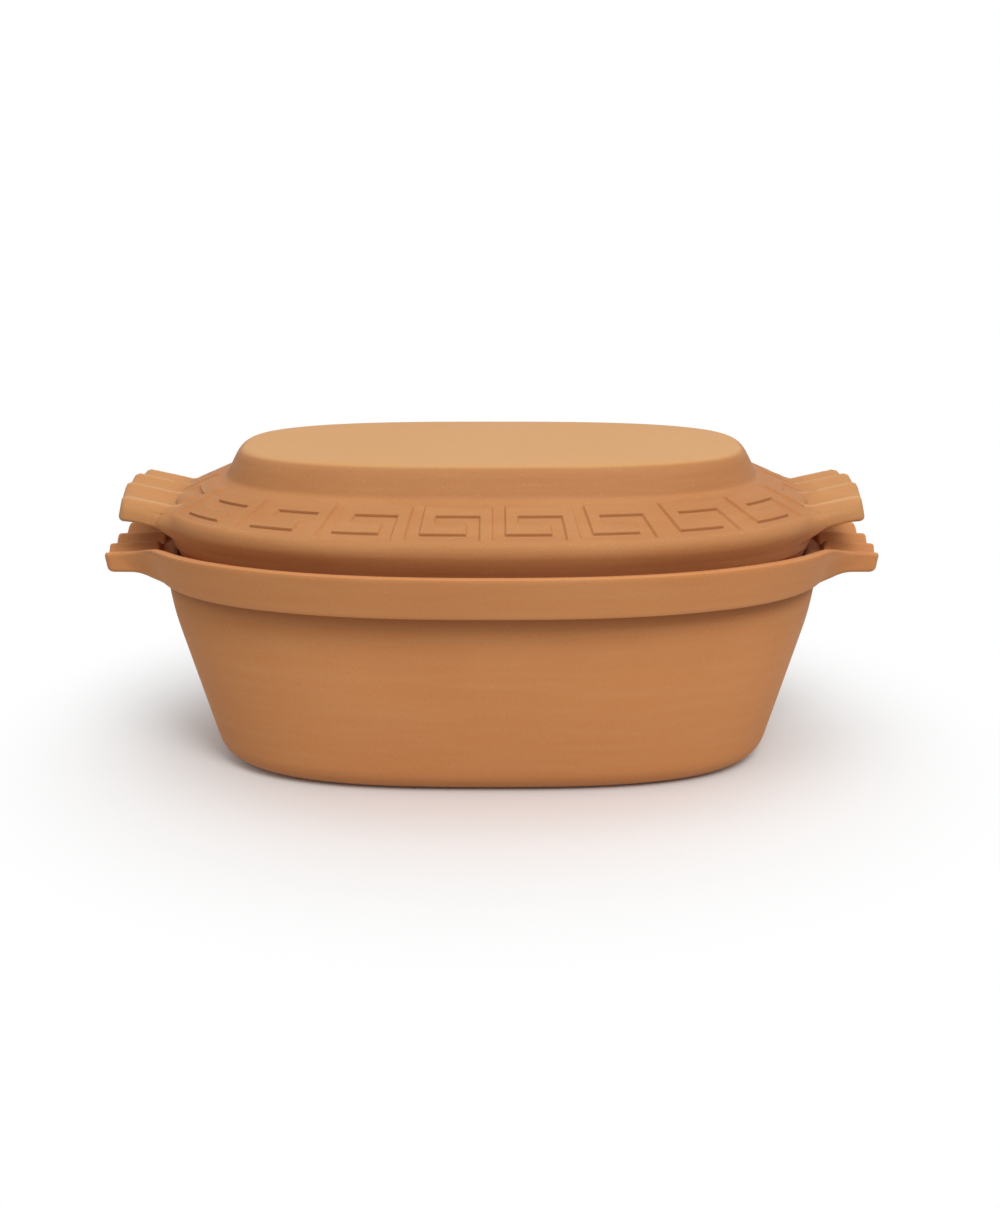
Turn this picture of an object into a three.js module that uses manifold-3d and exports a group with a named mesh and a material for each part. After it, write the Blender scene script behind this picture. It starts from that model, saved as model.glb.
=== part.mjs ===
// Clay roaster: an oval tub of unglazed terracotta and the lid that nests in its rim.
// Millimetres, +Z up, +X along the length, origin at the middle of the flat underside.
import * as THREE from 'three';
import { mergeVertices } from 'three/addons/utils/BufferGeometryUtils.js';
import Module from 'manifold-3d';

const wasm = await Module();
wasm.setup();

// Plan outlines: superellipses that change evenly from the rim to the foot and to the plateau
const footExtra = 58;             // half length minus half width
const rimExtra = 66;
const wallExtra = 70.8;           // of the tub's wall, carried up to the rim's level
const plateauExtra = 65;
const footSquareness = 2.8;       // superellipse exponents: 2 is an ellipse, more is boxier
const rimSquareness = 2.37;
const plateauSquareness = 2.8;

// Rim band and the ledge inside it that carries the lid; half widths are across the middle
const rimHeight = 116;            // above the underside
const rimHalfWidth = 111.5;
const rimBand = 21.8;             // height of the band's outer face
const rimProjection = 17;         // how far the top of the band stands out from the wall
const rimOverhang = 8.5;          // how far its lower edge does, at the middle of the side
const rimThickness = 7;
const rimRadius = 2;
const ledgeDepth = 11.5;
const rimDraft = 3;               // how much the rim's inner face closes in down to the ledge

// Tub wall and floor
const footHalfWidth = 79.5;
const footRadius = 13;
const wallUpright = 19;           // upright stretch of the wall below the band
const wallBendRadius = 120;
const wallThickness = 8;
const floorThickness = 9;
const floorRadius = 14;

// Lid: skirt, rolled shoulder, sloping frieze and raised plateau
const restGap = 0.3;
const lidClearance = 3.5;
const lidThickness = 8;
const lidDepth = 52.5;
const shoulderRun = 4.6;          // from the skirt in to the lower border of the frieze
const shoulderRadius = 9;
const friezeRun = 29;
const friezeDrop = 14.6;
const friezeSink = 1.2;           // depth of the frieze below its lower border
const stepRun = 6.2;
const stepHeight = 13.6;
const plateauRadius = 6;

// Meander in the frieze: one hook per unit, drawn on a grid of small cells
const keyUnits = 20;
const keyColumns = 13;
const keyRows = 12;
const keyRoot = 1.5;              // how deep a hook is set into the frieze

// Lugs: fluted grips at both ends of both pieces
const ribCount = 4;
const ribPitch = 21;
const ribEdge = 2.2;              // from the outer ribs' crests to the lug's side faces
const fluteDepth = 2.6;
const lugFlare = 24;              // width of the sweep from a lug's side into the body
const lugFilletRadius = 20;
const lugCornerRadius = 4;
const lugBulge = 3.5;             // how far the end of a lug bows out
const baseLugLength = 18.6;       // from the rim's lower edge to the lug's outer corners
const baseLugDrop = 8.4;          // from the rim down to the rib crests, at the outer end
const baseLugDroop = 4.4;         // degrees, falling outwards
const baseLugDish = 0.5;
const baseLugThickness = 8.8;
const lidLugLength = 14.5;        // from the skirt to the lug's outer corners
const lidLugRise = 22.7;          // from the rim up to the middle ribs' crests, at the outer end
const lidLugTilt = 12.8;          // degrees, rising outwards
const lidLugCrown = 2.1;
const lidLugThickness = 14;
const lidLugRoot = 1.3;           // from the rim up to the underside of the lug's root

// Facets, and how far a cutter passes the faces that it cuts
const cutMargin = 1;
const stepsPerUnit = 4;
const arcStep = 24;               // degrees
const arcChord = 14;
const stepsPerFlute = 6;

// Levels and half widths that follow from the sizes above
const rimBottomHeight = rimHeight - rimBand;
const wallHalfWidth = rimHalfWidth - rimProjection;
const wallBendHeight = rimBottomHeight - wallUpright;
const ledgeHeight = rimHeight - ledgeDepth;
const rimInner = rimHalfWidth - rimThickness;
const skirtBottom = ledgeHeight + restGap;
const skirtHalfWidth = rimInner - lidClearance;
const lidTop = skirtBottom + lidDepth;
const friezeTopHeight = lidTop - stepHeight;
const friezeTopHalfWidth = skirtHalfWidth - shoulderRun - friezeRun;
const friezeLength = Math.hypot(friezeRun, friezeDrop);
const lugHalfWidth = (ribCount - 1) * ribPitch / 2 + ribEdge;

// A value at some height, from its values at the foot, the rim and the plateau
function valueAt(height, foot, rim, plateau) {
  const [end, span] = height < rimHeight ? [foot, rimHeight] : [plateau, lidTop - rimHeight];
  return THREE.MathUtils.lerp(rim, end, Math.min(Math.abs(height - rimHeight) / span, 1));
}

// One horizontal outline of the body; t runs once round from the +X end.
class Oval extends THREE.Curve {
  constructor(halfWidth, height, extraAtRim = rimExtra) {
    super();
    this.halfWidth = halfWidth;
    this.halfLength = halfWidth + valueAt(height, footExtra, extraAtRim, plateauExtra);
    this.height = height;
    this.squareness = valueAt(height, footSquareness, rimSquareness, plateauSquareness);
    this.arcLengthDivisions = 800;
  }

  getPoint(t) {
    const bend = (value) => Math.sign(value) * Math.abs(value) ** (2 / this.squareness);
    const angle = 2 * Math.PI * t;
    const x = this.halfLength * bend(Math.cos(angle));
    return new THREE.Vector3(x, this.halfWidth * bend(Math.sin(angle)), this.height);
  }

  // Distance from the middle to the outline's end, at a distance y to the side
  reachAt(y) {
    return this.halfLength * (1 - (y / this.halfWidth) ** this.squareness) ** (1 / this.squareness);
  }
}

// Equal steps of u are equal lengths along the middle of the frieze.
const friezeMiddle = new Oval(friezeTopHalfWidth + friezeRun / 2, friezeTopHeight - friezeDrop / 2);

function turnAt(u) {
  return u <= 0.5 ? friezeMiddle.getUtoTmapping(u) : 1 - friezeMiddle.getUtoTmapping(1 - u);
}

// Points of an outline given as [x, y, radius] corners; a radius rounds its corner with an arc,
// limited by the straight stretches on both sides.
function roundedOutline(corners) {
  const corner = (index) => corners[(index + corners.length) % corners.length];
  return corners.flatMap(([x, y, radius = 0], index) => {
    const here = new THREE.Vector2(x, y);
    if (radius === 0) return [here];
    const [before, after] = [corner(index - 1), corner(index + 1)].map(([nextX, nextY, nextRadius = 0]) => {
      const side = new THREE.Vector2(nextX, nextY).sub(here);
      return { along: side.clone().normalize(), room: side.length() * (nextRadius > 0 ? 0.5 : 0.98) };
    });
    const halfAngle = before.along.angleTo(after.along) / 2;
    const setBack = Math.min(radius / Math.tan(halfAngle), before.room, after.room);
    const middle = before.along.clone().add(after.along).setLength(setBack / Math.cos(halfAngle)).add(here);
    const start = before.along.clone().multiplyScalar(setBack).add(here);
    const turn = Math.sign(after.along.cross(before.along)) * (Math.PI - 2 * halfAngle);
    const length = Math.abs(turn) * start.distanceTo(middle);
    const steps = Math.ceil(Math.max(Math.abs(turn) / THREE.MathUtils.degToRad(arcStep), length / arcChord));
    return Array.from({ length: steps + 1 }, (_, k) => start.clone().rotateAround(middle, turn * k / steps));
  });
}

function solidOf(geometry) {
  geometry.deleteAttribute('normal');
  geometry.deleteAttribute('uv');
  const merged = mergeVertices(geometry);
  return new wasm.Manifold(new wasm.Mesh({
    numProp: 3,
    vertProperties: Float32Array.from(merged.getAttribute('position').array),
    triVerts: Uint32Array.from(merged.index.array),
  }));
}

// A lathe turned solid whose rings are stretched into ovals; corners are [half width, height, radius].
function ovalSolid(corners, extraAtRim) {
  const profile = roundedOutline(corners);
  const segments = Math.round(keyUnits * stepsPerUnit);
  const geometry = new THREE.LatheGeometry(profile, segments);
  const rings = profile.map((point) => new Oval(point.x, point.y, extraAtRim));
  const position = geometry.getAttribute('position');
  for (let index = 0; index < position.count; index += 1) {
    const turn = turnAt(Math.floor(index / rings.length) / segments);
    const point = rings[index % rings.length].getPoint(turn);
    position.setXYZ(index, point.x, point.y, point.z);
  }
  return solidOf(geometry);
}

function prism(outline, depth) {
  return new THREE.ExtrudeGeometry(new THREE.Shape(outline), { depth, bevelEnabled: false });
}

// Frames that lay a prism across the body: its outline is read as (y, z) or as (x, z)
const alongLength = new THREE.Matrix4().makeBasis(
  new THREE.Vector3(0, 1, 0), new THREE.Vector3(0, 0, 1), new THREE.Vector3(1, 0, 0));
const acrossWidth = new THREE.Matrix4().makeBasis(
  new THREE.Vector3(1, 0, 0), new THREE.Vector3(0, 0, 1), new THREE.Vector3(0, -1, 0));

// Height of a lug's top over its middle crests: flutes between the ribs, a dish or crown over the
// width, and beyond the side faces an even sweep up or down into the body.
function lugTop(y, crown, flankRise) {
  const outerCrest = (ribCount - 1) * ribPitch / 2;
  const inside = Math.min(Math.abs(y), lugHalfWidth);
  const flute = fluteDepth * (1 - Math.cos(2 * Math.PI * (inside - outerCrest) / ribPitch)) / 2;
  const sweep = (1 - Math.cos(Math.PI * (Math.abs(y) - inside) / lugFlare)) / 2;
  return flankRise * sweep - flute - crown * (inside / outerCrest) ** 2;
}

// The two tools that shape a lug at one end of the body: a block with its underside cut to a knee,
// and a cutter that clears everything above the ribs.
function lug({ body, reach, lean, crest, tilt, crown, flankRise, bottom, top, knee, tip }, turn) {
  const flareWidth = lugHalfWidth + lugFlare;
  const flareX = body.reachAt(flareWidth);
  const innerX = flareX - wallThickness;
  const root = body.reachAt(lugHalfWidth);
  const halfPlan = [
    [innerX, flareWidth],
    [flareX, flareWidth],
    [root, lugHalfWidth, lugFilletRadius],
    [reach, lugHalfWidth, lugCornerRadius],
  ];
  const mirrored = halfPlan.map(([x, y, radius]) => [x, -y, radius]);
  const endRadius = (lugHalfWidth ** 2 + lugBulge ** 2) / (2 * lugBulge);
  const plan = roundedOutline([...mirrored, [reach + lugBulge, 0, endRadius], ...halfPlan.reverse()]);
  const leaning = new THREE.Matrix4().makeShear(0, 0, 0, 0, lean, 0);
  const block = prism(plan, top - bottom).translate(0, 0, bottom - body.height).applyMatrix4(leaning);
  block.translate(0, 0, body.height);

  const beyond = reach + lugBulge + top - bottom;
  const underline = [[root, bottom - cutMargin], [beyond, bottom - cutMargin], [beyond, tip], knee, [root, bottom]];
  const under = prism(roundedOutline(underline), 2 * (flareWidth + cutMargin)).applyMatrix4(acrossWidth);
  under.translate(0, flareWidth + cutMargin, 0);

  const steps = Math.round(2 * flareWidth / ribPitch * stepsPerFlute);
  const line = Array.from({ length: steps + 1 }, (_, k) => {
    const y = flareWidth * (2 * k / steps - 1);
    return new THREE.Vector2(y, lugTop(y, crown, flankRise));
  });
  const height = 2 * (top - bottom);
  line.push(new THREE.Vector2(flareWidth, height), new THREE.Vector2(-flareWidth, height));
  const length = 2 * (reach - innerX + height);
  const above = prism(line, length).applyMatrix4(alongLength).translate(-length / 2, 0, 0);
  above.rotateY(THREE.MathUtils.degToRad(tilt)).translate(reach, 0, crest);

  const [blockSolid, underSolid, aboveSolid] = [block, under, above].map((part) => solidOf(part.rotateZ(turn)));
  return { block: blockSolid.subtract(underSolid), above: aboveSolid };
}

const bothEnds = [0, Math.PI];

function makeBase() {
  const rimBottom = wallHalfWidth + rimOverhang;
  const wallLean = (wallHalfWidth - footHalfWidth) / wallBendHeight;
  const innerFoot = footHalfWidth - wallThickness + wallLean * floorThickness;
  const tub = ovalSolid([
    [0, 0],
    [footHalfWidth, 0, footRadius],
    [wallHalfWidth, wallBendHeight, wallBendRadius],
    [wallHalfWidth, ledgeHeight],
    [0, ledgeHeight],
  ], wallExtra);
  const band = ovalSolid([
    [0, rimBottomHeight],
    [rimBottom, rimBottomHeight],
    [rimHalfWidth, rimHeight, rimRadius],
    [0, rimHeight],
  ]);
  const cavity = ovalSolid([
    [0, floorThickness],
    [innerFoot, floorThickness, floorRadius],
    [wallHalfWidth - wallThickness, wallBendHeight, wallBendRadius],
    [wallHalfWidth - wallThickness, ledgeHeight + cutMargin],
    [0, ledgeHeight + cutMargin],
  ], wallExtra);
  const lidSeat = ovalSolid([
    [0, ledgeHeight],
    [rimInner - rimDraft, ledgeHeight],
    [rimInner, rimHeight],
    [rimInner, rimHeight + rimRadius],
    [0, rimHeight + rimRadius],
  ]);
  const crest = rimHeight - baseLugDrop;
  const underside = crest - baseLugThickness;
  const body = new Oval(rimBottom, rimBottomHeight);
  const lugs = bothEnds.map((turn) => lug({
    body,
    reach: body.halfLength + baseLugLength,
    lean: (rimHalfWidth - rimBottom) / (rimHeight - rimBottomHeight),
    crest: crest - baseLugDish,
    tilt: baseLugDroop,
    crown: -baseLugDish,
    flankRise: baseLugDrop - baseLugDish,
    bottom: rimBottomHeight,
    top: rimHeight,
    knee: [body.reachAt(lugHalfWidth) + underside - rimBottomHeight, underside],
    tip: underside,
  }, turn));
  let base = tub.add(band);
  for (const { block } of lugs) base = base.add(block);
  for (const { above } of lugs) base = base.subtract(above);
  return base.subtract(cavity).subtract(lidSeat);
}

// One hook of the meander, in cells of its unit: up the right leg from the lower border, left along
// the top, down the left leg and back in along the middle.
const hookCorners = [
  [10, -0.5], [12, -0.5], [12, 10], [1, 10], [1, 2], [8, 2], [8, 5], [3, 5], [3, 7], [10, 7],
];

// The hook of one unit: its outline, with points enough to follow the curve, bent onto the frieze.
function keyHook(unit) {
  const outline = hookCorners.flatMap(([column, row], index) => {
    const [nextColumn, nextRow] = hookCorners[(index + 1) % hookCorners.length];
    const steps = Math.max(Math.ceil(Math.abs(nextColumn - column) * stepsPerUnit / keyColumns), 1);
    const from = new THREE.Vector2(column, row);
    const to = new THREE.Vector2(nextColumn, nextRow);
    return Array.from({ length: steps }, (_, k) => from.clone().lerp(to, k / steps));
  });
  const hook = prism(outline, keyRoot + friezeSink).translate(0, 0, -keyRoot);
  const position = hook.getAttribute('position');
  for (let index = 0; index < position.count; index += 1) {
    const u = (unit + position.getX(index) / keyColumns) / keyUnits;
    const down = 1 - position.getY(index) / keyRows;
    const lift = position.getZ(index);
    const halfWidth = friezeTopHalfWidth + friezeRun * down + lift * friezeDrop / friezeLength;
    const height = friezeTopHeight - friezeDrop * down + lift * friezeRun / friezeLength;
    const point = new Oval(halfWidth, height).getPoint(turnAt(u));
    position.setXYZ(index, point.x, point.y, point.z);
  }
  return solidOf(hook);
}

function makeLid() {
  const slope = friezeDrop / friezeRun;
  const border = friezeTopHalfWidth + friezeRun;
  const borderHeight = friezeTopHeight - friezeDrop + friezeSink * friezeLength / friezeRun;
  const skirtInner = skirtHalfWidth - lidThickness;
  const plateau = friezeTopHalfWidth - stepRun;
  const innerSlope = (halfWidth) => friezeTopHeight - slope * (halfWidth - friezeTopHalfWidth)
    - lidThickness * friezeLength / friezeRun;
  const innerStep = friezeTopHalfWidth - lidThickness / 2;
  const outside = ovalSolid([
    [0, skirtBottom],
    [skirtHalfWidth - rimDraft, skirtBottom],
    [skirtHalfWidth, rimHeight],
    [skirtHalfWidth, borderHeight - slope * shoulderRun, shoulderRadius],
    [border, borderHeight],
    [border, borderHeight - friezeSink * friezeLength / friezeRun],
    [friezeTopHalfWidth, friezeTopHeight],
    [plateau, lidTop, plateauRadius],
    [0, lidTop],
  ]);
  const cavity = ovalSolid([
    [0, skirtBottom - cutMargin],
    [skirtInner - rimDraft, skirtBottom - cutMargin],
    [skirtInner, rimHeight],
    [skirtInner, innerSlope(skirtInner), shoulderRadius],
    [innerStep, innerSlope(innerStep), plateauRadius],
    [plateau - lidThickness / 2, lidTop - lidThickness, plateauRadius],
    [0, lidTop - lidThickness],
  ]);
  const body = new Oval(border, borderHeight);
  const kneeX = skirtHalfWidth + rimExtra;
  const reach = kneeX + lidLugLength;
  const crest = rimHeight + lidLugRise;
  const bottom = rimHeight + lidLugRoot;
  const tip = crest - lidLugThickness;
  const lugs = bothEnds.map((turn) => lug({
    body,
    reach,
    lean: -Math.tan(THREE.MathUtils.degToRad(lidLugTilt)),
    crest,
    tilt: -lidLugTilt,
    crown: lidLugCrown,
    flankRise: -lidLugThickness,
    bottom,
    top: lidTop,
    knee: [kneeX, tip - lidLugRoot],
    tip,
  }, turn));
  let lid = outside;
  for (const { block, above } of lugs) lid = lid.add(block.subtract(above));
  for (let unit = 0; unit < keyUnits; unit += 1) lid = lid.add(keyHook(unit));
  return lid.subtract(cavity);
}

function clayMesh(name, solid) {
  const { vertProperties, triVerts } = solid.getMesh();
  const geometry = new THREE.BufferGeometry();
  geometry.setAttribute('position', new THREE.BufferAttribute(vertProperties, 3));
  geometry.setIndex(new THREE.BufferAttribute(triVerts, 1));
  geometry.computeVertexNormals();
  const terracotta = new THREE.MeshStandardMaterial({ color: 0xc68b5a, roughness: 0.92, metalness: 0 });
  const mesh = new THREE.Mesh(geometry, terracotta);
  mesh.name = name;
  return mesh;
}

const roaster = new THREE.Group();
roaster.add(clayMesh('base', makeBase()), clayMesh('lid', makeLid()));

export default roaster;
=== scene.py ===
# %% [markdown]
# # A clay roaster
# An oval tub of unglazed terracotta and the lid that nests in its rim. Both were pressed in moulds,
# sponged smooth and fired, so every edge is soft, every corner is filled a little, and the only colour
# is the clay's own. The packed model is the fixed frame of this lesson: it says how large each piece is
# and which body it moves with.

# %% Load the frame
import math

import bpy
import numpy as np
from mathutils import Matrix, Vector


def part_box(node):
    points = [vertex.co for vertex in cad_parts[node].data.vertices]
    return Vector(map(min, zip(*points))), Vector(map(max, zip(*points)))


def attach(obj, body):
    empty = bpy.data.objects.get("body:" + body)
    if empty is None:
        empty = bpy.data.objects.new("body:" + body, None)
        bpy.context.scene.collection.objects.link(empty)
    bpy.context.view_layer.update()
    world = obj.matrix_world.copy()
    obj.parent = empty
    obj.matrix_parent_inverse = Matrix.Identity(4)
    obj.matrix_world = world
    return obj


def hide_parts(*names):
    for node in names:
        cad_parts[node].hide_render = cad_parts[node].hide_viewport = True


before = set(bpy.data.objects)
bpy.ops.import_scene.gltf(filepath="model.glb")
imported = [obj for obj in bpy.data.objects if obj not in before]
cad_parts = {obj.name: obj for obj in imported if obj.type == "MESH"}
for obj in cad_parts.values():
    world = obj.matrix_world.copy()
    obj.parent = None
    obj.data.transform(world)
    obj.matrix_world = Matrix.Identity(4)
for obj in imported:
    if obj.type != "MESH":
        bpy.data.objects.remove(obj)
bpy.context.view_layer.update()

# %% [markdown]
# ## Sizes
# All sizes below are millimetres, as on a potter's drawing. The overall ones are read from the frame, so
# the surfaces made here can't drift away from the solids that they stand for. The others are sizes of
# walls, edges and fillets, named where they are first needed.

# %% Sizes from the frame
MM = 0.001
_, base_high = (np.array(corner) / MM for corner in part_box("base"))
lid_low, lid_high = (np.array(corner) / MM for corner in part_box("lid"))

rim_z = base_high[2]
skirt_z = lid_low[2]
top_z = lid_high[2]
skirt_half = lid_high[1]
base_reach = base_high[0]
lid_reach = lid_high[0]
print("rim", rim_z, "skirt", skirt_z, "top", top_z, "reach", base_reach, lid_reach)

# %% [markdown]
# ## The oval
# Seen from above, every level of the roaster is a superellipse: an oval with a squareness between an
# ellipse's and a box's. It could be drawn at a few levels and lofted, but a formula gives every level at
# once. The foot and the lid's plateau are boxier than the rim, so squareness and length blend by height.

# %% Ovals
foot_extra, rim_extra, plateau_extra = 58.0, 66.0, 65.0
foot_square, rim_square, plateau_square = 2.8, 2.37, 2.8
newton_steps = 7
least_half, least_slope = 5.0, 1e-12


def by_height(z, foot, rim, plateau):
    """The foot's value at the bottom, the rim's at the rim and the plateau's at the top, with straight
    lines between them."""
    return np.interp(z, [0, rim_z, top_z], [foot, rim, plateau])


def oval(half_width, z, turn, extra_at_rim=rim_extra):
    """Points of a level outline: cosine and sine of the turn, each raised to 2 / squareness with its
    sign kept, times the half length and the half width."""
    half_width, z, turn = np.broadcast_arrays(half_width, z, turn)
    power = 2 / by_height(z, foot_square, rim_square, plateau_square)
    half_length = half_width + by_height(z, foot_extra, extra_at_rim, plateau_extra)
    x = half_length * np.sign(np.cos(turn)) * np.abs(np.cos(turn)) ** power
    y = half_width * np.sign(np.sin(turn)) * np.abs(np.sin(turn)) ** power
    return np.stack([x, y, z], axis=-1)


def half_width_at(x, y, z):
    """Half width of the oval that passes through each point: Newton's steps, from below, on
    (x / half length) ** squareness + (y / half width) ** squareness = 1."""
    x, y = np.abs(x), np.abs(y)
    square = by_height(z, foot_square, rim_square, plateau_square)
    extra = by_height(z, foot_extra, rim_extra, plateau_extra)
    half = np.maximum(np.maximum(y, x - extra), least_half)
    for _ in range(newton_steps):
        along = (x / (half + extra)) ** square
        across = (y / half) ** square
        slope = square * (along / (half + extra) + across / half)
        step = (along + across - 1) / np.maximum(slope, least_slope)
        half = np.maximum(half + step, least_half)
    return half


def turns_by_length(ring, shares):
    """Turns at which a ring of points, one per even turn, has run through these shares of its length."""
    steps = np.linalg.norm(np.diff(ring, axis=0), axis=1)
    run = np.concatenate([[0], np.cumsum(steps)]) / steps.sum()
    return np.interp(shares, run, np.linspace(0, 2 * np.pi, len(ring)))


eighths = np.array([0, np.pi / 4, np.pi / 2])
print("lid outline at the rim", np.round(oval(skirt_half, rim_z, eighths), 1).tolist())

# %% [markdown]
# ## Soft clay as a field
# A fillet between a lug and an oval shoulder is hard to draw as a line, but easy to say with distances.
# Each plane of a piece gives a distance that is negative inside. The larger of two distances is where
# both hold, and the smaller is where either does. Rounding that choice with a circle makes the soft edges
# and the fillets.

# %% Rounded joins, and points moved onto a field's surface
least_steepness, longest_move = 0.05, 3.0


def smooth_step(low, high, value):
    """0 below low, 1 above high, and 3t^2 - 2t^3 between."""
    t = np.clip((value - low) / (high - low), 0, 1)
    return t * t * (3 - 2 * t)


def rounded_and(a, b, radius):
    """Both solids at once, with their shared edge rounded: near it, the length of the two distances plus
    the radius takes the place of the larger one."""
    corner = np.hypot(np.maximum(radius + a, 0), np.maximum(radius + b, 0))
    return np.minimum(np.maximum(a, b), -radius) + corner


def rounded_or(a, b, radius):
    """Either solid, with a fillet in the corner between them: the mirror image of rounded_and."""
    return -rounded_and(-a, -b, radius)


def slope_of(field, points, step=0.02):
    """The field's value and its gradient, from small steps along x, y and z."""
    value = field(points)
    moved = [field(points + step * axis) for axis in np.eye(3)]
    return value, (np.stack(moved, axis=-1) - value[..., None]) / step


def onto(field, points, rounds=1):
    """Points moved along the gradient onto the surface where the field is zero."""
    for _ in range(rounds):
        value, gradient = slope_of(field, points)
        steepness = np.maximum((gradient ** 2).sum(-1, keepdims=True), least_steepness)
        points = points - np.clip(value, -longest_move, longest_move)[..., None] * gradient / steepness
    return points


def settle(field, grid, share, rounds):
    """Clay sponged smooth: every point between the first and last rows goes part of the way, its column's
    share of a half, to the mean of its four neighbours, then back onto the field's surface."""
    inner = grid[1:-1] = onto(field, grid[1:-1], rounds=8)
    for _ in range(rounds):
        beside = np.roll(inner, 1, axis=1) + np.roll(inner, -1, axis=1)
        mean = (beside + grid[:-2] + grid[2:]) / 4
        inner = onto(field, inner + (mean - inner) * share[:, None] / 2)
        grid[1:-1] = inner
    grid[1:-1] = onto(field, inner, rounds=6)
    return grid


print("a corner rounded by 1 mm loses", round(float(rounded_and(0.0, 0.0, 1.0)), 3), "mm")

# %% [markdown]
# ## The fluted lugs
# Both pieces are lifted by a lug at each end, with four soft ribs so that a gloved hand doesn't slip. The
# ribs are the arrises between shallow hollows. Each could be a carved piece of its own, but one wave is
# enough: a sine between the crests gives the hollows, and its absolute value, softened near zero, gives
# the arrises.

# %% Ribs
rib_count, rib_pitch = 4, 21.0
outer_crest = (rib_count - 1) / 2 * rib_pitch
lug_half = outer_crest + 2.2
flute_depth = 4.2
arris_softness = 0.15


def flutes(y):
    """Depth below the crests: the absolute sine of the way between two crests, with its cusp rounded
    off."""
    wave = np.sin(np.pi * (y - outer_crest) / rib_pitch)
    return flute_depth * (np.sqrt(wave ** 2 + arris_softness ** 2) - arris_softness)


def crest_highlight(y):
    """1 on the crest of a rib, 0 from half a millimetre below it: where a painted highlight
    lightens the crests.
    """
    return 1 - smooth_step(0, 0.5, flutes(y))


print("lug half width", lug_half, "deepest flute", round(float(flutes(0.0)), 2))

# %% [markdown]
# ## The lid as a field
# Below its plateau the lid has a sloping frieze, a shoulder that rolls under like the edge of a cushion,
# and a neck that stands in the rim of the base. A lug at each end grows out of the shoulder. The roll is
# cut back under the lugs to make room for fingers, and it turns under less towards the ends. Cutting and
# filleting solids could make all this, but the fillets would fail where three of them meet. Fields don't.

# %% The lid's field: frieze, rolled shoulder and neck
frieze_top_half, frieze_top_z = 67.2, top_z - 14.6
frieze_run, frieze_drop = 29.0, 13.6
frieze_length = math.hypot(frieze_run, frieze_drop)
shoulder_soft, roll_soft = 6.0, 12.5
roll_low_z = rim_z + 2.2
roll_turn, roll_ease = math.radians(43), math.radians(12)
neck_half, neck_draft = skirt_half - 8.0, 0.6
neck_top_z, neck_fillet = roll_low_z + 6, 2.0
side_stops, end_starts = 70.0, 150.0


def near_ends(x):
    """0 along the sides of the lid and 1 at its ends, with a smooth step between."""
    return smooth_step(side_stops, end_starts, np.abs(x))


def rolled_shoulder(x, z, half):
    """The frieze's slope, the upright edge and the plane that turns under it, with both edges rounded."""
    frieze = ((z - frieze_top_z) * frieze_run + (half - frieze_top_half) * frieze_drop) / frieze_length
    turn = roll_turn - roll_ease * near_ends(x)
    under = (half - skirt_half) * np.cos(turn) + (roll_low_z - z) * np.sin(turn)
    return rounded_and(frieze, rounded_and(half - skirt_half, under, roll_soft), shoulder_soft)


print("frieze slopes", round(math.degrees(math.atan2(frieze_drop, frieze_run)), 1), "degrees")

# %% The lid's field: lugs, and all of it together
lid_crest, lid_crown = rim_z + 23.3, 2.1
lid_tilt = math.radians(12.8)
lid_lug_end, lid_bow = lid_reach - 6.4, 3.0
lid_side_half, lid_side_lean = lug_half + 1.3, 0.1
lid_edge_soft, lid_end_soft, lid_under_soft = 4.5, 3.0, 2.6
lid_knee, lid_knee_z, lid_knee_soft = 169.0, rim_z + 7.7, 3.0
lid_root_slope, lid_tip_slope = 0.44, 0.08
finger_half, finger_soft, finger_edge = lug_half + 1.0, 2.0, 1.5
crest_fillet, flank_fillet = 2.0, 13.0
flank_inner, flank_outer = 30.0, 40.0
flank_low_z, flank_high_z = rim_z + 8, rim_z + 19


def lid_lug(x, y, z):
    """A lug of the lid: under its crowned and fluted top, which rises outwards, and inside its sides and
    its bowed end, which lean out downwards."""
    x, y = np.abs(x), np.abs(y)
    rise = (x - lid_lug_end) * math.tan(lid_tilt)
    crest = lid_crest - lid_crown * (y / outer_crest) ** 2 - flutes(y) + rise
    top = (z - crest) * math.cos(lid_tilt)
    side = y - lid_side_half - lid_side_lean * (lid_crest - z)
    bow = lid_bow * (1 - (y / lug_half) ** 2)
    end = (x - lid_lug_end - bow - (lid_crest - z) * math.tan(lid_tilt)) * math.cos(lid_tilt)
    return rounded_and(rounded_and(top, side, lid_edge_soft), end, lid_end_soft)


def lid_under(x, z):
    """Distance below the underside of the lid's lugs: two slopes that meet at a knee."""
    root_line = lid_knee_z + (np.abs(x) - lid_knee) * lid_root_slope - z
    tip_line = lid_knee_z + (np.abs(x) - lid_knee) * lid_tip_slope - z
    return rounded_or(root_line, tip_line, lid_knee_soft)


def finger_room(x, y, z):
    """Distance outside the hollow for fingers: between two planes beside a lug and below its underside."""
    return rounded_and(np.abs(y) - finger_half, -lid_under(x, z), finger_soft)


def lid_field(points):
    """The lid's outside below its plateau: the rolled shoulder, cut back under the lugs, or the neck; and
    the lugs, joined with a tight crease on top, where the ribs meet the frieze, with wide fillets at
    their flanks, and cut off by their undersides."""
    x, y, z = np.moveaxis(points, -1, 0)
    half = half_width_at(x, y, z)
    roll = rounded_and(rolled_shoulder(x, z, half), -finger_room(x, y, z), finger_edge)
    neck = half - neck_half + neck_draft * (rim_z - z) / (rim_z - skirt_z)
    shoulder = rounded_or(roll, np.maximum(neck, z - neck_top_z), neck_fillet)
    beside = smooth_step(flank_inner, flank_outer, np.abs(y))
    flank = beside * (1 - smooth_step(flank_low_z, flank_high_z, z))
    fillet = crest_fillet + (flank_fillet - crest_fillet) * flank
    flared = rounded_or(shoulder, lid_lug(x, y, z), fillet)
    return np.minimum(shoulder, rounded_and(flared, lid_under(x, z), lid_under_soft))


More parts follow.
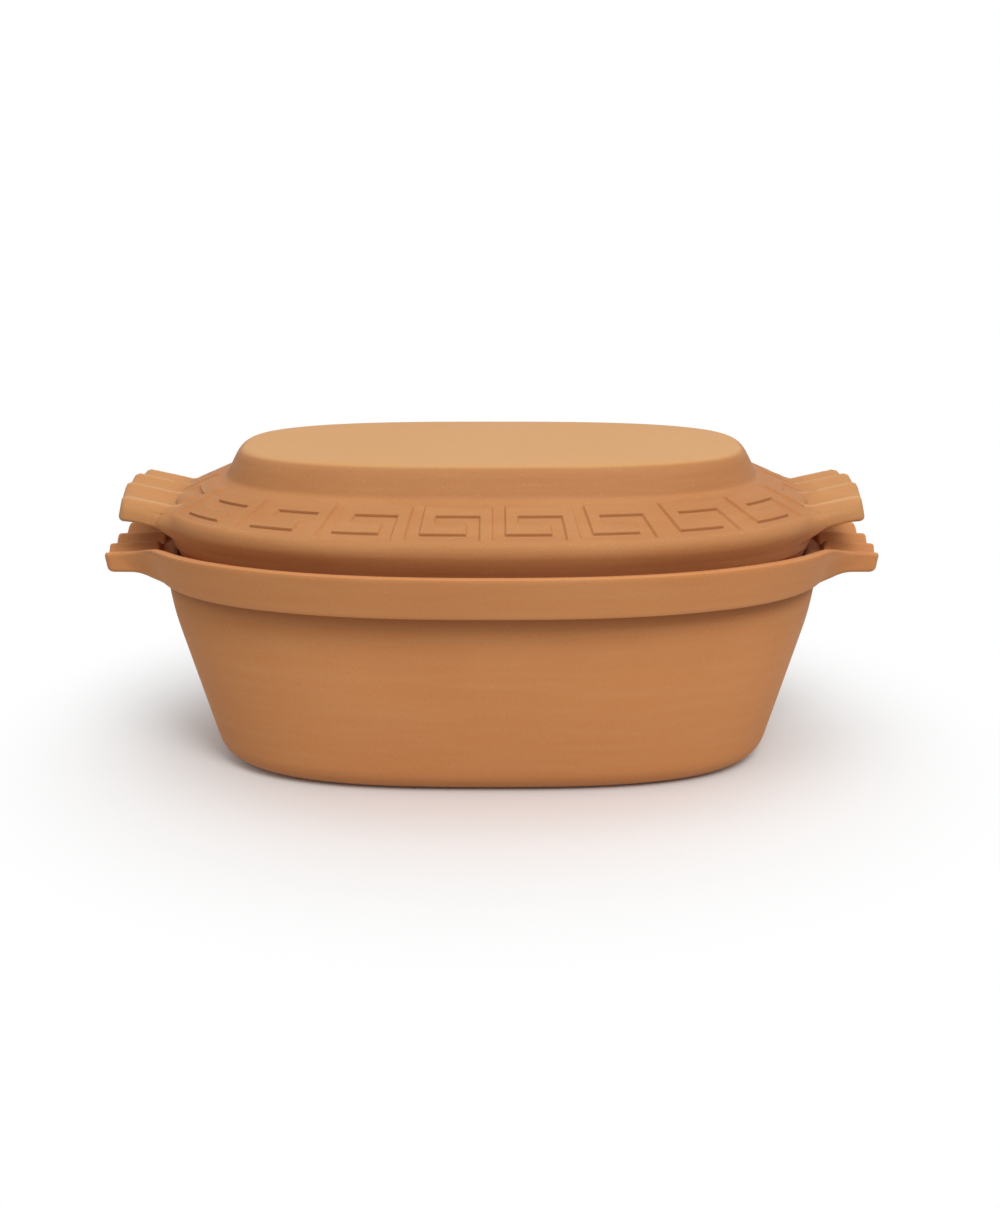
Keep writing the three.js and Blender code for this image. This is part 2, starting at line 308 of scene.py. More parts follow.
print("lid lugs reach", round(lid_lug_end + lid_bow, 1), "and rise to", round(lid_crest, 1))

# %% [markdown]
# ## The base's rim as a field
# The base ends in a heavy band that leans out, with a lug at each end. Along the sides the rim is level,
# and beside the lugs it dips to meet them. Inside, it is open down to the ledge that carries the lid. The
# same kind of field as the lid's makes the lugs and the band one soft piece of clay.

# %% The base's field
rim_half = 111.05
band_z, band_half = rim_z - 21.8, rim_half - 8.5
band_lean = (rim_half - band_half) / (rim_z - band_z)
rim_inner, rim_draft = rim_half - 7.0, 3.0
ledge_z, ledge_half = rim_z - 11.5, rim_inner - rim_draft
lip_edge, side_lip_edge, band_edge = 1.2, 4.0, 1.2
top_edge_soft, dip_soft = 1.4, 1.5
side_lip_inner, side_lip_outer = 36.0, 50.0

base_crest, base_dish = rim_z - 7.9, 0.7
base_droop = math.tan(math.radians(3.3))
base_lug_end, base_bow = base_reach - 2.6, 2.2
base_under = base_crest - 10.4
end_lean, side_lean = 0.14, 0.2
base_corner_soft, base_under_soft = 3.0, 2.4
low_fillet, high_fillet = 11.5, 15.0
dip_run, dip_rise = 22.0, 4.9


def dip(x, y):
    """Height of the base's lugs and of the rim that sweeps down to them: dished and fluted between the
    outer crests, a quarter of a sine wave up to the rim beyond them, and falling a little outwards."""
    y = np.abs(y)
    inside = np.minimum(y, outer_crest)
    sweep = np.sin(np.pi / 2 * np.clip((y - lug_half) / dip_run, 0, 1))
    crest = base_crest - base_dish + base_dish * (inside / outer_crest) ** 2 - flutes(inside)
    return crest + dip_rise * sweep + (base_lug_end - np.abs(x)) * base_droop


def base_lug(x, y, z):
    """A lug of the base below its crests: between leaning sides, inside a bowed end that leans out
    upwards, and above a flat underside."""
    side = (np.abs(y) - lug_half + side_lean * (base_crest - z)) / math.hypot(1, side_lean)
    bow = base_bow * (1 - (y / lug_half) ** 2)
    end = (np.abs(x) - base_lug_end - bow - end_lean * (z - base_crest)) / math.hypot(1, end_lean)
    return rounded_and(rounded_and(side, end, base_corner_soft), base_under - z, base_under_soft)


def base_field(points):
    """The base's rim: a leaning band and the lugs, joined with fillets, cut off by the rim's level or by
    the dip, and open inside down to the ledge."""
    x, y, z = np.moveaxis(points, -1, 0)
    half = half_width_at(x, y, z)
    face = (half - band_half - band_lean * (z - band_z)) / math.hypot(1, band_lean)
    fillet = low_fillet + (high_fillet - low_fillet) * smooth_step(base_under, base_crest, z)
    joined = rounded_and(rounded_or(face, base_lug(x, y, z), fillet), band_z - z, band_edge)
    level = rounded_and(z - rim_z, z - dip(x, y), dip_soft)
    closed = rounded_and(joined, level, top_edge_soft)
    draft = rim_draft / (rim_z - ledge_z)
    inner = (rim_inner - draft * (rim_z - z) - half) / math.hypot(1, draft)
    beside = smooth_step(side_lip_inner, side_lip_outer, np.abs(y))
    return rounded_and(closed, inner, lip_edge + (side_lip_edge - lip_edge) * beside)


print("band from", round(band_z, 1), "to", round(rim_z, 1), "ledge at", round(ledge_z, 1))

# %% [markdown]
# ## Grids round the ovals
# Each piece is one closed grid: rows follow the profile, columns run round the oval. In front of a lug
# the columns have to spread over its sides and end as well. Its outline is found by rays from a point
# inside the end of the body, and the columns are dealt out evenly along that outline.

# %% Profiles, rings and lofts
arc_points = 13
hole_share = 0.08


def profile(corners, step):
    """A line through [half width, height, radius] corners, each corner an arc that touches both its
    sides, sampled at even steps."""
    corners = np.array(corners, float)
    line = [corners[:1, :2]]
    for before, here, after in zip(corners[:-2], corners[1:-1], corners[2:]):
        back, on = before[:2] - here[:2], after[:2] - here[:2]
        back, on = back / np.linalg.norm(back), on / np.linalg.norm(on)
        half_angle = np.arccos(np.clip(back @ on, -1, 1)) / 2
        middle = here[:2] + (back + on) / np.linalg.norm(back + on) * here[2] / np.sin(half_angle)
        ends = here[:2] + np.stack([back, on]) * here[2] / np.tan(half_angle)
        chord = np.linspace(ends[0], ends[1], arc_points) - middle
        line.append(middle + chord / np.linalg.norm(chord, axis=1, keepdims=True) * here[2])
    line = np.concatenate([*line, corners[-1:, :2]])
    run = np.concatenate([[0], np.cumsum(np.linalg.norm(np.diff(line, axis=0), axis=1))])
    at = np.linspace(0, run[-1], max(int(run[-1] / step), 1) + 1)
    return np.stack([np.interp(at, run, line[:, 0]), np.interp(at, run, line[:, 1])], axis=1)


def rings(line, turns, extra_at_rim=rim_extra):
    """Rows of ovals, one for each point of a profile."""
    return oval(line[:, :1], line[:, 1:], turns[None], extra_at_rim)


def disc(ring, rows):
    """Rows of a flat disc inside a ring, from near its middle outwards: the ring drawn in by even
    shares."""
    shares = np.linspace(hole_share, 1, rows + 1)[:-1]
    return ring[None] * np.stack([shares, shares, np.ones_like(shares)], axis=1)[:, None]


def loft(curves, counts):
    """Rows between neighbouring curves, each pair with its own count of even steps."""
    rows = [low + (high - low) * np.linspace(0, 1, count, endpoint=False)[:, None, None]
            for low, high, count in zip(curves[:-1], curves[1:], counts)]
    return np.concatenate([*rows, curves[-1][None]])


print("points on a quarter round of 10 mm", len(profile([(0, 0, 0), (10, 0, 10), (10, 10, 0)], 1.0)))

# %% Columns that follow the lugs
quarter_turns = np.linspace(0, np.pi / 2, 400)
even_turns = np.linspace(0, 2 * np.pi, 4001)
flare = 24.0
ray_samples, ray_count = 500, 900
ray_depth, end_ray, side_ray = 30.0, 90.0, 150.0
full_lug = 8.0


def with_lug_columns(shares, end_share, count):
    """Shares of the way round, and extra ones about both ends, where the lugs are: sorted, without
    doubles."""
    lug_shares = np.linspace(-end_share, end_share, count)
    return np.unique(np.round(np.concatenate([shares, lug_shares % 1, lug_shares % 1 + 0.5]) % 1, 4))


def outermost(field, start, directions, reach):
    """Where rays leave a field's solid for the last time: sampled at even steps, with a straight line
    between the last sample inside and the next one."""
    run = np.linspace(0, reach, ray_samples)
    values = field(start + run[:, None] * directions[:, None, :])
    last = len(run) - 1 - np.argmax((values < 0)[:, ::-1], axis=1)
    ray = np.arange(len(directions))
    inside, outside = values[ray, last], values[ray, last + 1]
    at = run[last] + run[1] * inside / (inside - outside)
    return start + at[:, None] * directions


def lug_outline(field, z, flare_point, shares):
    """Plan outline of one end at a level: rays from inside the body to the surface, dealt out evenly by
    length; shares run from -1 to 1 between the two flare points."""
    start = np.array([flare_point[0] - ray_depth, 0, z])
    widest = math.atan2(flare_point[1], ray_depth)
    angles = np.linspace(-widest, widest, ray_count)
    directions = np.stack([np.cos(angles), np.sin(angles), np.zeros_like(angles)], axis=1)
    line = outermost(field, start, directions, end_ray)
    run = np.concatenate([[0], np.cumsum(np.linalg.norm(np.diff(line, axis=0), axis=1))])
    at = (shares + 1) / 2 * run[-1]
    return np.stack([np.interp(at, run, line[:, axis]) for axis in range(3)], axis=-1)


def lug_offsets(field, z, turns):
    """How far the plan outline at a level lies outside the plain oval: nothing along the body, and the
    lugs at both ends. Also, from 0 to 1, how much of a lug each column has."""
    half_width = outermost(field, np.array([0, 0, z]), np.array([[0, 1, 0]]), side_ray)[0, 1]
    ring = oval(half_width, z, turns)
    flare_turn = np.interp(lug_half + flare, oval(half_width, z, quarter_turns)[:, 1], quarter_turns)
    flare_point = oval(half_width, z, flare_turn)
    signed = (turns + np.pi / 2) % np.pi - np.pi / 2
    at_end = np.abs(signed) < flare_turn
    mirror = np.where(np.cos(turns) > 0, 1, -1)
    bumps = lug_outline(field, z, flare_point, np.clip(signed / flare_turn, -1, 1))
    bumps = bumps * np.stack([mirror, mirror, np.ones_like(mirror)], axis=1)
    offsets = np.where(at_end[:, None], bumps - ring, 0)
    return offsets, np.clip(np.hypot(offsets[:, 0], offsets[:, 1]) / full_lug, 0, 1)


print("side of the lid at the knee", np.round(
    outermost(lid_field, np.array([0, 0, lid_knee_z]), np.array([[0, 1, 0]]), side_ray), 2).tolist())

# %% [markdown]
# ## One skin for each piece
# A fired pot is one closed skin of clay, inside and out. A modifier could thicken an open shell, but the
# wall isn't even here, so each grid runs over one side, round the edge and over the other side. Only its
# two ends are closed with fans.

# %% A closed skin from a grid
def skin(name, grid, material, painted_shade_and_highlight, folds):
    """A mesh from a grid of rows and columns: columns wrap round, and the means of the first and last
    rows are the points that close the two ends. Every point's value of painted shade and painted highlight
    goes along as an attribute, and an edge between two points marked as folds is shaded sharp."""
    rows, columns = grid.shape[:2]
    points = np.concatenate([grid.reshape(-1, 3), grid[:1].mean(1), grid[-1:].mean(1)]) * MM
    here = np.arange(rows * columns).reshape(rows, columns)
    beside = np.roll(here, -1, axis=1)
    quads = np.stack([here[:-1], here[1:], beside[1:], beside[:-1]], axis=-1).reshape(-1, 4)
    first, last = rows * columns, rows * columns + 1
    start_fan = np.stack([np.full(columns, first), here[0], beside[0]], axis=-1)
    end_fan = np.stack([np.full(columns, last), beside[-1], here[-1]], axis=-1)
    mesh = bpy.data.meshes.new(name)
    mesh.from_pydata(points.tolist(), [], quads.tolist() + start_fan.tolist() + end_fan.tolist())
    mesh.shade_smooth()
    values = np.concatenate([painted_shade_and_highlight.ravel(), [0, 0]])
    mesh.attributes.new("painted_shade_and_highlight", "FLOAT", "POINT").data.foreach_set("value", values)
    ends = np.empty(2 * len(mesh.edges), np.int32)
    mesh.edges.foreach_get("vertices", ends)
    sharp = np.concatenate([folds.ravel(), [False, False]])[ends.reshape(-1, 2)].all(1)
    mesh.attributes.new("sharp_edge", "BOOLEAN", "EDGE").data.foreach_set("value", sharp)
    mesh.materials.append(material)
    piece = bpy.data.objects.new(name, mesh)
    bpy.context.scene.collection.objects.link(piece)
    print(name, rows, "rows", columns, "columns", 2 * len(quads) + 2 * columns, "triangles")
    return piece


# %% [markdown]
# ## The meander
# The frieze carries a Greek key: the same hook, pressed into the mould again and again round the oval. A
# hook is four strips on a grid of cells. It could be a bump in the material, but that would vanish from
# the side. Here it is real relief: each strip is a soft step in both directions, and the columns and rows
# of the grid crowd together where the steps are.

# %% Hook of the key
key_units = 20
key_columns, key_rows = 13, 12
key_side, key_low, key_high, key_border = 0.15, 0.09, 0.45, 0.9
key_strips = [(10, 12, -1, 10), (1, 12, 7, 10), (1, 3, 2, 10), (1, 8, 2, 5)]
key_side_edges = np.array([1, 3, 8, 10, 12])
key_row_edges = np.array([2, 5, 7, 10])
key_lower_edges = key_row_edges[::2]
# Where the painted shade lines sit below the lower edges of the strips.
under_shade_below, under_shade_width, under_shade_shift = 0.06, 0.13, 0.4


def soft_span(value, low, high, low_soft, high_soft):
    """1 between low and high, 0 outside, with a soft step at both."""
    rise = smooth_step(low - low_soft, low + low_soft, value)
    return rise * (1 - smooth_step(high - high_soft, high + high_soft, value))


def key_relief(column, row):
    """Height of the key over the frieze, from 0 to 1: the highest of its strips and of the lower
    border."""
    strips = [soft_span(column, left, right, key_side, key_side)
              * soft_span(row, low, high, key_low, key_high)
              for left, right, low, high in key_strips]
    border = 1 - smooth_step(0, key_border, row)
    return np.maximum(np.max(strips, axis=0), border)


def key_under_shade(column, row):
    """1 in the corner under the lower edge of a strip, 0 a little above and below it, and 0 where another
    strip joins from below: where painted shade darkens the corner."""
    lines = [soft_span(column, left, right, key_side, key_side)
             * np.maximum(0, 1 - np.abs(row - low + under_shade_below) / under_shade_width)
             for left, right, low, _ in key_strips if low in key_lower_edges]
    return np.max(lines, axis=0) * (1 - key_relief(column, row - under_shade_shift))


cells = np.meshgrid(np.arange(key_columns) + 0.5, np.arange(key_rows) + 0.5)
print("raised cells of a hook", int((key_relief(*cells) > 0.5).sum()), "of", key_columns * key_rows)

# %% Rows and columns that crowd at the key's edges
between_sides = [0, 2, 4.25, 5.5, 6.75, 9, 11]
between_rows = [3.5, 6, 8.5, 11]
border_rows = [0, 0.3, 0.6, 0.9]
# Extra rows just under the lower edges, to carry the painted shade lines.
under_shade_rows = key_lower_edges - 0.27


def crowded(edges, softness, between):
    """Sorted places: three at each soft edge, and single ones between."""
    edges, softness = np.array(edges, float), np.array(softness)
    return np.unique(np.round(np.concatenate([edges - softness, edges, edges + softness, between]), 4))


unit_places = crowded(key_side_edges, key_side, between_sides)
row_places = crowded(key_row_edges, [key_low, key_high] * 2, [*between_rows, *border_rows, *under_shade_rows])
row_places = row_places[::-1]
print("key columns per unit", len(unit_places), "rows", len(row_places))

# %% [markdown]
# ## Terracotta
# Fired clay without a glaze is one of the plainest finishes and one of the easiest to get wrong: a single
# orange looks like plastic. The real surface has fine sand in it, faint drag marks from the sponge that
# run round the pot, and patches that fired lighter or redder. The plateau gets a painted sheen and the lug
# tops painted light; each point's value above zero is painted shade in corners and undersides, and below
# zero a painted highlight on rib crests. The node links could be drawn one by one, but shader maths reads
# better as Python expressions.

# %% Shader expressions
class Shade:
    """A socket of a material's node tree; operators on it add Math nodes."""

    def __init__(self, tree, socket=None):
        self.tree = tree
        self.socket = socket

    def node(self, kind, settings=None, inputs=None, output=0):
        """Any node: its settings are set first, then its sockets get values or links. Returns one
        output."""
        made = self.tree.nodes.new(kind)
        for name, value in (settings or {}).items():
            setattr(made, name, value)
        for name, value in (inputs or {}).items():
            if isinstance(value, Shade):
                self.tree.links.new(value.socket, made.inputs[name])
            else:
                made.inputs[name].default_value = value
        return Shade(self.tree, made.outputs[output])

    def math(self, operation, *values):
        """A Math node on values or sockets."""
        return self.node("ShaderNodeMath", {"operation": operation}, dict(enumerate(values)))

    def __add__(self, other):
        return self.math("ADD", self, other)

    def __mul__(self, other):
        return self.math("MULTIPLY", self, other)

    def __rsub__(self, other):
        return self.math("SUBTRACT", other, self)

    __radd__ = __add__
    __rmul__ = __mul__

    def between(self, low, high):
        """0 below low and 1 above high, with a soft run between."""
        settings = {"interpolation_type": "SMOOTHSTEP"}
        return self.node("ShaderNodeMapRange", settings, {"Value": self, "From Min": low, "From Max": high})

    def mixed(self, low, high):
        """A colour that goes from low to high as this value goes from 0 to 1; the Mix node's sockets for
        colours are its inputs 6 and 7 and its output 2."""
        settings = {"data_type": "RGBA", "clamp_factor": True}
        return self.node("ShaderNodeMix", settings, {0: self, 6: low, 7: high}, output=2)


print("shader expressions", sorted(name for name in vars(Shade) if not name.startswith("__")))

# %% Clay
painted_light_tone, drag_tone = (0.72, 0.39, 0.155, 1), (0.74, 0.40, 0.18, 1)
dark_sand, pale_sand = (0.34, 0.13, 0.05, 1), (0.82, 0.52, 0.30, 1)
# Tones of the painted shade and the painted highlight.
painted_shade_tone, painted_highlight_tone = (0.10, 0.035, 0.014, 1), (0.82, 0.50, 0.25, 1)
# Heights of the painted sheen on the plateau, and the reach and heights of the painted light on the lug
# tops.
painted_sheen_top = (top_z * MM - 0.0018, top_z * MM - 0.0001)
painted_light_lug_x, painted_light_lug_heights = (0.150, 0.166), (rim_z * MM + 0.006, rim_z * MM + 0.014)


def clay(name, pale, mid, red):
    """Unglazed terracotta: three clay tones laid in patches, a painted sheen on the plateau and painted
    light on the lug tops, drag marks round the pot, sand and pores, and the mesh's own values of painted
    shade and painted highlight."""
    material = bpy.data.materials.new(name)
    material.use_nodes = True
    tree = material.node_tree
    shader = tree.nodes["Principled BSDF"]
    start = Shade(tree)
    place = start.node("ShaderNodeTexCoord", output="Object")

    def noise(scale, detail, stretch=(1, 1, 1), roughness=0.5):
        """Fractal noise on the piece's own coordinates; a larger stretch packs it closer along an axis."""
        stretched = {"Vector": place, "Scale": stretch}
        spot = start.node("ShaderNodeMapping", {"vector_type": "POINT"}, stretched)
        inputs = {"Vector": spot, "Scale": scale, "Detail": detail, "Roughness": roughness}
        return start.node("ShaderNodeTexNoise", inputs=inputs)

    patches = noise(11, 3).between(0.3, 0.7)
    blush = noise(5, 2, (1, 1, 1.6)).between(0.42, 0.72)
    drags = noise(16, 4, (1, 1, 14), 0.62)
    sand = noise(900, 2, roughness=0.6)
    grit = noise(2300, 1)

    tone = patches.mixed(mid, pale)
    tone = (blush * 0.55).mixed(tone, red)
    height = start.node("ShaderNodeSeparateXYZ", inputs={"Vector": place}, output="Z")
    sideways = start.node("ShaderNodeSeparateXYZ", inputs={"Vector": place}, output="X")
    along = start.math("ABSOLUTE", sideways)
    # The plateau and the lug tops are made paler: painted sheen on the plateau, painted light on the lugs.
    painted_light_on_lugs = along.between(*painted_light_lug_x) * height.between(*painted_light_lug_heights)
    tone = (height.between(*painted_sheen_top) * 0.8 + painted_light_on_lugs * 0.35).mixed(tone, painted_light_tone)
    tone = (drags.between(0.35, 0.75) * 0.16).mixed(tone, drag_tone)
    tone = ((1 - sand.between(0.28, 0.42)) * 0.13).mixed(tone, dark_sand)
    tone = (sand.between(0.6, 0.72) * 0.13).mixed(tone, pale_sand)
    # The mesh's value above zero mixes in painted shade, below zero a painted highlight.
    painted_shade_and_highlight = start.node("ShaderNodeAttribute", {"attribute_name": "painted_shade_and_highlight"}, output="Fac")
    tone = painted_shade_and_highlight.mixed(tone, painted_shade_tone)
    tone = (0 - painted_shade_and_highlight).mixed(tone, painted_highlight_tone)
    tree.links.new(tone.socket, shader.inputs["Base Color"])

    rough = 0.66 + 0.12 * patches
    tree.links.new(rough.socket, shader.inputs["Roughness"])
    shader.inputs["Specular IOR Level"].default_value = 0.25
    shader.inputs["Sheen Weight"].default_value = 0.06
    shader.inputs["Sheen Roughness"].default_value = 0.5

    grain = sand * 0.7 + grit * 0.3 + drags * 0.9
    bump = start.node("ShaderNodeBump", inputs={"Strength": 0.3, "Distance": 0.0004, "Height": grain})
    tree.links.new(bump.socket, shader.inputs["Normal"])
    return material


# One clay in two copies: the lid's tones are darker, painted shade, and the base's lighter, painted light,
# to even out how brightly the lamps light each piece.
shaded_lid_clay = clay("shaded_lid_clay", (0.55, 0.241, 0.087, 1), (0.515, 0.216, 0.073, 1), (0.475, 0.183, 0.060, 1))
lit_base_clay = clay("lit_base_clay", (0.72, 0.300, 0.104, 1), (0.68, 0.270, 0.089, 1), (0.63, 0.232, 0.075, 1))
print("materials", [material.name for material in bpy.data.materials])

# %% [markdown]
# ## The lid
# From the middle of the plateau outwards: the flat top, its soft edge, the step down, the frieze with its
# key, the rolled shoulder with the lugs, the neck, and back up inside. A sculpted mesh would do as well,
# but rows of ovals keep the key even. The shoulder and lugs are settled onto the field; the frieze rows
# only move where the ribs run over them.

# %% Lid columns
key_start = 0.0047
frieze_middle = oval(frieze_top_half + frieze_run / 2, frieze_top_z - frieze_drop / 2, even_turns)
key_shares = ((np.arange(key_units)[:, None] + unit_places / key_columns) / key_units).ravel() + key_start
lid_shares = with_lug_columns(key_shares, end_share=0.085, count=131)
lid_turns = turns_by_length(frieze_middle, lid_shares)
key_column = (lid_shares - key_start) * key_units % 1 * key_columns
print("lid columns", len(lid_turns))

# %% Lid plateau, step and frieze
plateau_half, plateau_border = frieze_top_half - 7.2, 9.0
plateau_soft, step_foot_soft = 7.0, 2.4
apron_run, apron_drop = 3.0, 1.5
plateau_rows = disc(oval(plateau_half - plateau_border, top_z, lid_turns), rows=6)
step_line = profile([(plateau_half - plateau_border, top_z, 0), (plateau_half, top_z, plateau_soft),
                     (frieze_top_half, frieze_top_z, step_foot_soft),
                     (frieze_top_half + apron_run, frieze_top_z - apron_drop, 0)], step=1.1)
step_rows = rings(step_line, lid_turns)

down = 1 - row_places / key_rows
frieze_line = np.stack([frieze_top_half + frieze_run * down, frieze_top_z - frieze_drop * down], axis=1)
kept = frieze_line[:, 0] > step_line[-1, 0] + 0.5
frieze_rows = onto(lid_field, rings(frieze_line[kept], lid_turns), rounds=6)
print("rows", len(plateau_rows), "plateau", len(step_rows), "step", len(frieze_rows), "frieze")

# %% Lid shoulder and lugs
shoulder_steps, settle_rounds = [22, 9, 20], 40
lid_offsets, lid_lug_share = lug_offsets(lid_field, lid_knee_z + 5, lid_turns)
lug_lift = 6 * lid_lug_share
top_edge = oval(skirt_half - 1.5, rim_z + 10.5 + lug_lift, lid_turns) + lid_offsets
low_edge = oval(skirt_half - 0.5, rim_z + 3.5 + lug_lift, lid_turns) + lid_offsets
neck_start = (neck_half - 0.3, rim_z - 5)
neck_ring = oval(*neck_start, lid_turns)
shoulder_rows = loft([frieze_rows[-1], top_edge, low_edge, neck_ring], shoulder_steps)
shoulder_rows = settle(lid_field, shoulder_rows, smooth_step(0, 0.4, lid_lug_share), settle_rounds)
print("shoulder reaches", np.round(shoulder_rows.max((0, 1)), 2).tolist())

# %% Key relief on the frieze and the border of the shoulder
key_height = 1.2
relief_rows = np.concatenate([frieze_rows, shoulder_rows[1:]])
_, gradient = slope_of(lid_field, relief_rows)
normal = gradient / np.linalg.norm(gradient, axis=-1, keepdims=True)
relief_row = np.concatenate([row_places[kept], np.full(len(shoulder_rows) - 1, -1.0)])[:, None]
fade = smooth_step(rim_z + 2, rim_z + 13, relief_rows[..., 2])
bare = smooth_step(0.3, 2.5, lid_lug(*np.moveaxis(relief_rows, -1, 0)))
height = key_height * key_relief(key_column[None], relief_row) * fade * bare
relief_rows = relief_rows + height[..., None] * normal
print("the key stands", round(float(height.max()), 2), "mm proud")

# %% Lid inside
lid_wall, neck_wall = 8.0, 7.0
neck_edge, eaves_soft, roof_soft = 2.0, 9.0, 6.0
inner_top = top_z - lid_wall
frieze_inner = frieze_top_z - lid_wall * frieze_length / frieze_run
neck_inner = neck_half - neck_wall
slope_z = frieze_inner - (neck_inner - frieze_top_half) * frieze_drop / frieze_run
inside_line = profile([(*neck_start, 0), (neck_half - neck_draft, skirt_z, neck_edge),
                       (neck_inner, skirt_z, neck_edge), (neck_inner, slope_z, eaves_soft),
                       (frieze_top_half - 4, frieze_inner + 2, roof_soft),
                       (plateau_half - 4, inner_top, roof_soft),
                       (plateau_half - 14, inner_top, 0)], step=2.9)
inside_rows = rings(inside_line, lid_turns)
roof_rows = disc(inside_rows[-1], rows=6)[::-1]
lid_grid = np.concatenate([plateau_rows, step_rows, relief_rows, inside_rows[1:], roof_rows])
print("lid rows", len(lid_grid))

# %% [markdown]
# ## Painted shade and highlight on the lid
# Painted shade darkens the corners under the key's strips, the hollow behind the lugs, the low band of
# the roll above the rim and the step down from the plateau, and a painted highlight lightens the ribs'
# crests. A mask could be painted for this, but the grid knows where every place is. So each point carries
# one number: above zero for painted shade, below zero for painted highlight. The steep sides of the
# strips get sharp folds, because a stamp leaves them crisp.

# %% Painted shade and highlight
key_shade_dark, crest_highlight_strength, recess_shade_dark, gap_dark, step_dark = 0.42, 0.45, 0.7, 0.14, 0.09
relief_y = np.abs(relief_rows[..., 1])
# Painted shade in the corners under the lower edges of the key's strips.
key_shade = key_under_shade(key_column[None], relief_row) * smooth_step(lug_half + 4, lug_half + 8, relief_y)
# Painted highlight on the up-facing crests of the lid's ribs.
crest_lit = crest_highlight(relief_y) * (1 - bare) * smooth_step(0.3, 0.6, normal[..., 2])
first_relief = len(plateau_rows) + len(step_rows)
lid_shade_and_highlight = np.zeros(lid_grid.shape[:2])
lid_shade_and_highlight[first_relief:first_relief + len(relief_rows)] = key_shade_dark * key_shade - crest_highlight_strength * crest_lit
# Painted shade on the step down from the plateau, which lies darker under the lamps.
on_step = soft_span(step_line[:, 0], plateau_half, frieze_top_half - 0.5, 1.5, 0.5)
lid_shade_and_highlight[len(plateau_rows):first_relief] = step_dark * on_step[:, None]

neck_rows = int((inside_line[1:, 0] > neck_half - neck_draft - 1).sum())
outside = slice(first_relief, first_relief + len(relief_rows) + neck_rows)
x, y, z = np.moveaxis(lid_grid[outside], -1, 0)
# Painted shade in the hollow under the lugs, where the roll is set back between their flanks.
set_back = smooth_step(2, 5, skirt_half - half_width_at(x, y, z))
between_flanks = 1 - smooth_step(finger_half - 16, finger_half + 10, np.abs(y))
recess_shade = recess_shade_dark * set_back * smooth_step(0, 2, lid_under(x, z)) * between_flanks
# Painted shade on the low band of the roll, in the gap above the base's rim.
in_gap = gap_dark * (1 - smooth_step(rim_z - 2, rim_z + 7, z)) * (1 - near_ends(x))
dark = np.maximum(lid_shade_and_highlight[outside], np.maximum(recess_shade, in_gap))
lid_shade_and_highlight[outside] = np.where(lid_shade_and_highlight[outside] < 0, lid_shade_and_highlight[outside], dark)
print("crease from", round(float(lid_shade_and_highlight.min()), 2), "to", round(float(lid_shade_and_highlight.max()), 2))

# %% Folds of the key, and the finished lid
fold_reach = 0.02


def beside_edges(places, edges, softness):
    """True for places that lie the softness away from one of the edges: where a soft step starts or
    ends."""
    return (np.abs(np.abs(places[:, None] - edges) - softness) < fold_reach).any(1)


across = beside_edges(row_places[kept], key_lower_edges, key_low)
upright = beside_edges(key_column, key_side_edges, key_side)
lid_folds = np.zeros(lid_grid.shape[:2], bool)
on_frieze = slice(first_relief, first_relief + len(frieze_rows))
lid_folds[on_frieze] = (across[:, None] | upright) & (bare[:len(frieze_rows)] > 0.9)
lid = skin("terracotta_lid", lid_grid, shaded_lid_clay, lid_shade_and_highlight, lid_folds)
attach(lid, "lid")
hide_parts("lid")

# %% [markdown]
# ## The base
# The same way from the middle of the floor: floor, inner wall, the ledge that carries the lid, the rim
# with its lugs, the undercut below the band, the leaning wall, the foot and the underside. A lathe would
# give a round pot, so the rows are ovals again, and only the rim and its lugs are settled onto a field.

# %% Base columns and inside rows
foot_half, foot_soft, flat_margin = 79.5, 13.0, 18.0
wall_half, wall_extra = rim_half - 21.6, 78.5
wall_bend_z, wall_bend_soft = band_z - 19.0, 120.0
base_wall, floor_z, floor_soft = 8.0, 9.0, 14.0
bowl_half, bowl_edge = wall_half - base_wall, 2.0
floor_half = foot_half - base_wall + (wall_half - foot_half) / wall_bend_z * floor_z

plain_shares = np.linspace(0, 1, 200, endpoint=False)
base_shares = with_lug_columns(plain_shares, end_share=0.08, count=151)
base_turns = turns_by_length(oval(rim_half, rim_z, even_turns), base_shares)

bowl_line = profile([(floor_half - flat_margin, floor_z, 0), (floor_half, floor_z, floor_soft),
                     (bowl_half, wall_bend_z, wall_bend_soft), (bowl_half, ledge_z, bowl_edge),
                     (bowl_half + 3, ledge_z, 0)], step=2.4)
bowl_rows = rings(bowl_line, base_turns, wall_extra)
ledge_steps = 5
ledge_rows = loft([bowl_rows[-1], oval(ledge_half, ledge_z, base_turns)], [ledge_steps])
floor_rows = disc(bowl_rows[0], rows=5)
print("base columns", len(base_turns), "rows inside", len(floor_rows) + len(bowl_rows) + ledge_steps)

# %% Rim and lugs of the base
undercut, undercut_soft = 2.0, 1.5
base_offsets, base_lug_share = lug_offsets(base_field, base_under + 4.5, base_turns)


def band_ring(z):
    """Ring on the leaning face of the rim band, carried out over the lugs."""
    return oval(band_half + band_lean * (z - band_z), z, base_turns) + base_offsets


def below_rim(ring):
    """Height just under the rim's level, or under the dip where the rim sweeps down to a lug."""
    return np.minimum(rim_z, dip(ring[:, 0], ring[:, 1])) - 0.5


rim_inside = oval(rim_inner, rim_z, base_turns)
rim_inside[:, 2] = below_rim(rim_inside)
rim_outside = band_ring(below_rim(band_ring(rim_z)))
rim_low = band_ring(band_z + 1 + 4 * base_lug_share)
band_under = oval(wall_half + undercut, band_z, base_turns, wall_extra)
rim_steps = [9, 20, 14, 14]
rim_rows = loft([ledge_rows[-1], rim_inside, rim_outside, rim_low, band_under], rim_steps)
rim_rows = settle(base_field, rim_rows, smooth_step(0, 0.4, base_lug_share), settle_rounds)
print("rim reaches", np.round(rim_rows.max((0, 1)), 2).tolist())

